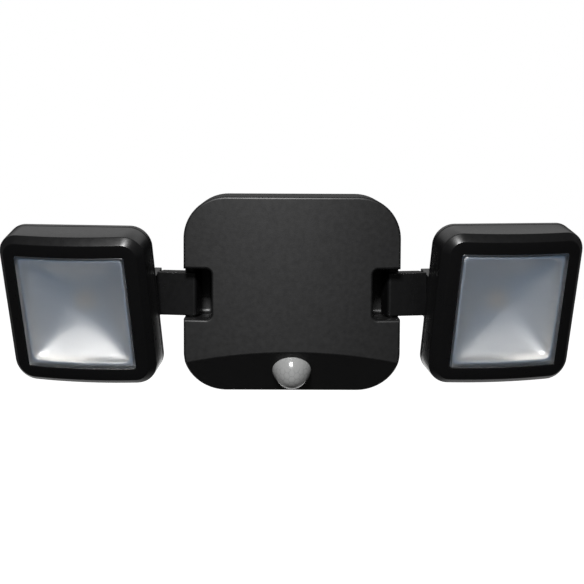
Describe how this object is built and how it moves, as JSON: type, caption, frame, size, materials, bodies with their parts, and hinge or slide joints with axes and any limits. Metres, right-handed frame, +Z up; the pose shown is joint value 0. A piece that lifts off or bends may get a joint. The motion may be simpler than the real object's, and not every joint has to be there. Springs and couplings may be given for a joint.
{
  "type": "motion sensor security light",
  "caption": "Wall-mounted battery security light: rounded body with a motion sensor dome in its chin, and square LED flood heads on swinging, tilting side arms.",
  "frame": {"origin": "middle of the wall plate's back face, on the wall", "axes": "+X to the viewer's right, +Y into the wall, +Z up; the light faces -Y"},
  "size_m": [0.3579, 0.0807, 0.1216],
  "materials": {
    "black_plastic": "fine moulded grain, satin",
    "frosted_plastic": "clear in front, frosted inside",
    "reflector_plastic": "bright satin",
    "dome_plastic": "milky, faceted inside",
    "led_board": "white solder mask",
    "led_phosphor": "pale warm, satin",
    "steel": "zinc plated",
    "seal_rubber": "matte",
    "nylon": "smooth",
    "battery_wrap": "plain printed sleeve",
    "circuit_board": "solder mask",
    "component_plastic": "smooth",
    "sensor_can": "plain metal can"
  },
  "bodies": {
    "base": {"wall_plate": "black_plastic", "wall_plate_lock_screw": "steel", "rear_housing": "black_plastic", "front_cover": "black_plastic", "housing_seal": "seal_rubber", "housing_screws": "steel", "battery_door": "black_plastic", "battery_door_seal": "seal_rubber", "battery_door_screws": "steel", "battery_cell_1": "battery_wrap", "battery_cell_2": "battery_wrap", "battery_cell_3": "battery_wrap", "battery_contacts": "steel", "battery_springs": "steel", "main_board": "circuit_board", "board_components": "component_plastic", "board_screws": "steel", "sensor_board": "circuit_board", "sensor_board_screws": "steel", "pir_sensor": "sensor_can", "light_sensor": "component_plastic", "pir_lens": "dome_plastic", "pir_lens_retainer": "black_plastic", "left_swing_pin": "steel", "right_swing_pin": "steel"},
    "left_arm": {"left_arm_body": "black_plastic", "left_arm_cover": "black_plastic", "left_arm_screws": "steel", "left_swing_washers": "nylon"},
    "left_head": {"left_head_frame": "black_plastic", "left_head_housing": "black_plastic", "left_lens": "frosted_plastic", "left_reflector": "reflector_plastic", "left_led_board": "led_board", "left_led_chip": "led_phosphor", "left_head_seal": "seal_rubber", "left_head_screws": "steel", "left_tilt_bolt": "steel", "left_tilt_nut": "steel", "left_tilt_washers": "steel"},
    "right_arm": {"right_arm_body": "black_plastic", "right_arm_cover": "black_plastic", "right_arm_screws": "steel", "right_swing_washers": "nylon"},
    "right_head": {"right_head_frame": "black_plastic", "right_head_housing": "black_plastic", "right_lens": "frosted_plastic", "right_reflector": "reflector_plastic", "right_led_board": "led_board", "right_led_chip": "led_phosphor", "right_head_seal": "seal_rubber", "right_head_screws": "steel", "right_tilt_bolt": "steel", "right_tilt_nut": "steel", "right_tilt_washers": "steel"}
  },
  "joints": [
    {"name": "left_arm_swing", "type": "hinge", "parent": "base", "child": "left_arm", "pos_m": [-0.0622, -0.037, -0.0002], "axis": [0, 0, 1], "range_deg": [-5.2, 52.8]},
    {"name": "left_head_tilt", "type": "hinge", "parent": "left_arm", "child": "left_head", "pos_m": [-0.08209, -0.03248, -0.0002], "axis": [0.9751, -0.2215, 0], "range_deg": [-48.9, 26.1]},
    {"name": "right_arm_swing", "type": "hinge", "parent": "base", "child": "right_arm", "pos_m": [0.0622, -0.037, -0.0002], "axis": [0, 0, -1], "range_deg": [-3.4, 54.6]},
    {"name": "right_head_tilt", "type": "hinge", "parent": "right_arm", "child": "right_head", "pos_m": [0.08194, -0.03186, -0.0002], "axis": [0.9677, 0.2521, 0], "range_deg": [-45.6, 29.4]}
  ]
}
